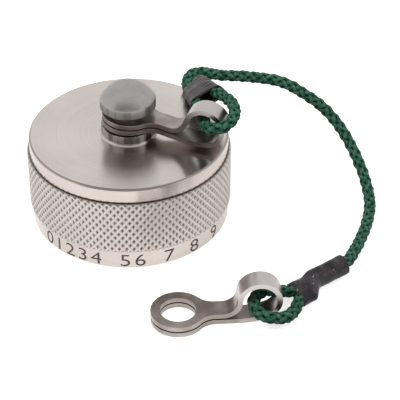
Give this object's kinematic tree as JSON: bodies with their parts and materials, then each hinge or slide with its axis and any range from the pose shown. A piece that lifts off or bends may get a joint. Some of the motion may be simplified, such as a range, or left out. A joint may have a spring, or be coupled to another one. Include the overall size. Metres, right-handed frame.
{
  "type": "connector dust cap",
  "caption": "Knurled screw-on metal dust cap for a circular connector, with a braided green lanyard that ends in a folded steel screw lug.",
  "frame": {"origin": "Centre of the cap's mouth plane, which is also the plane that the cap and the free lug rest on", "axes": "+Z along the cap's axis, from the mouth to the stud; +X to the side where the cord leaves; -Y to the front, where the free lug lies"},
  "size_m": [0.0566, 0.0488, 0.0243],
  "materials": {
    "cap_metal": "passivated, turned",
    "stud_metal": "satin",
    "seal_rubber": "matt",
    "lug_steel": "rolled sheet",
    "cord_braid": "braided",
    "sleeve_shrink": "shrunk"
  },
  "bodies": {
    "cap": {"cap_shell": "cap_metal", "stud": "stud_metal", "gasket": "seal_rubber"},
    "lanyard": {"fitted_lug": "lug_steel", "lanyard_cord": "cord_braid", "fitted_sleeve": "sleeve_shrink", "free_sleeve": "sleeve_shrink"},
    "screw_lug": {"free_lug": "lug_steel"}
  },
  "joints": [
    {"name": "lanyard_swivel", "type": "hinge", "parent": "cap", "child": "lanyard", "pos_m": [0, 0, 0.0178], "axis": [0, 0, 1], "continuous": true},
    {"name": "screw_lug_tilt", "type": "hinge", "parent": "lanyard", "child": "screw_lug", "pos_m": [0.02037, -0.02734, 0.00394], "axis": [-0.0698, 0.9976, 0], "range_deg": [0, 90]}
  ]
}
